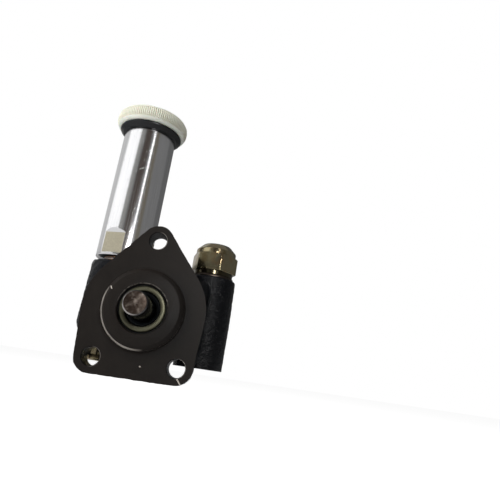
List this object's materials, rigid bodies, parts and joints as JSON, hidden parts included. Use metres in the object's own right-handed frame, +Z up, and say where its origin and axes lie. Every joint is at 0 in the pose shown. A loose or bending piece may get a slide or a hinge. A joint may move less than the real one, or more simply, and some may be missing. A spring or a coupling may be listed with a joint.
{
  "type": "fuel feed pump",
  "caption": "Piston fuel feed pump with a flange for the engine, a push rod in its boss, valve columns and a hand primer with a round knob.",
  "frame": {"origin": "centre of the pilot boss, on the flange's mounting face", "axes": "-Y out of the mounting face along the push rod, +Z up along the primer and the valve columns, +X from the primer to the valve plug"},
  "size_m": [0.0829, 0.0917, 0.1464],
  "materials": {
    "casting_paint": "gloss black paint on rough cast iron, machined faces dark brown",
    "yellow_zinc": "olive-gold passivated zinc on steel",
    "copper": "annealed copper",
    "bright_barrel": "bright turned aluminium",
    "rod_steel": "hardened steel with scuffed end",
    "spring_steel": "spring steel",
    "black_rubber": "black rubber",
    "cream_plastic": "cream moulded plastic",
    "valve_metal": "brass"
  },
  "bodies": {
    "root": {"housing": "casting_paint", "seal_ring": "yellow_zinc", "rod_seal": "black_rubber", "guide_bush": "rod_steel", "bush_o_ring": "black_rubber", "chamber_plug": "yellow_zinc", "chamber_washer": "copper", "valve_plug": "yellow_zinc", "valve_washer": "copper", "inlet_adapter": "yellow_zinc", "primer_barrel": "bright_barrel", "primer_washer": "copper", "piston_spring": "spring_steel", "suction_spring": "spring_steel", "delivery_spring": "spring_steel"},
    "push_rod": {"push_rod": "rod_steel"},
    "piston": {"piston": "rod_steel"},
    "suction_valve": {"suction_valve": "valve_metal"},
    "delivery_valve": {"delivery_valve": "valve_metal"},
    "primer_plunger": {"primer_piston": "valve_metal", "primer_o_ring": "black_rubber"},
    "knob": {"knob": "cream_plastic", "knob_ring": "black_rubber", "primer_rod": "spring_steel", "primer_nut": "spring_steel"}
  },
  "joints": [
    {"name": "push_rod_slide", "type": "slide", "parent": "root", "child": "push_rod", "axis": [0, 1, 0], "range_m": [0, 0.007], "stiffness_N_per_m": 1400, "springref_m": -0.008},
    {"name": "piston_slide", "type": "slide", "parent": "root", "child": "piston", "axis": [0, 1, 0], "range_m": [0, 0.007], "deforming": ["piston_spring"]},
    {"name": "suction_valve_lift", "type": "slide", "parent": "root", "child": "suction_valve", "axis": [0, 0, 1], "range_m": [0, 0.0022], "stiffness_N_per_m": 120, "springref_m": -0.002, "deforming": ["suction_spring"]},
    {"name": "delivery_valve_lift", "type": "slide", "parent": "root", "child": "delivery_valve", "axis": [0, 0, 1], "range_m": [0, 0.0022], "stiffness_N_per_m": 120, "springref_m": -0.002, "deforming": ["delivery_spring"]},
    {"name": "primer_pull", "type": "slide", "parent": "root", "child": "primer_plunger", "axis": [0, 0, 1], "range_m": [0, 0.038]},
    {"name": "knob_turn", "type": "hinge", "parent": "primer_plunger", "child": "knob", "pos_m": [-0.0216, 0.028, 0.1], "axis": [0, 0, 1], "continuous": true}
  ],
  "couplings": [
    {"joint": "piston_slide", "follows": "push_rod_slide", "ratio": 1}
  ]
}
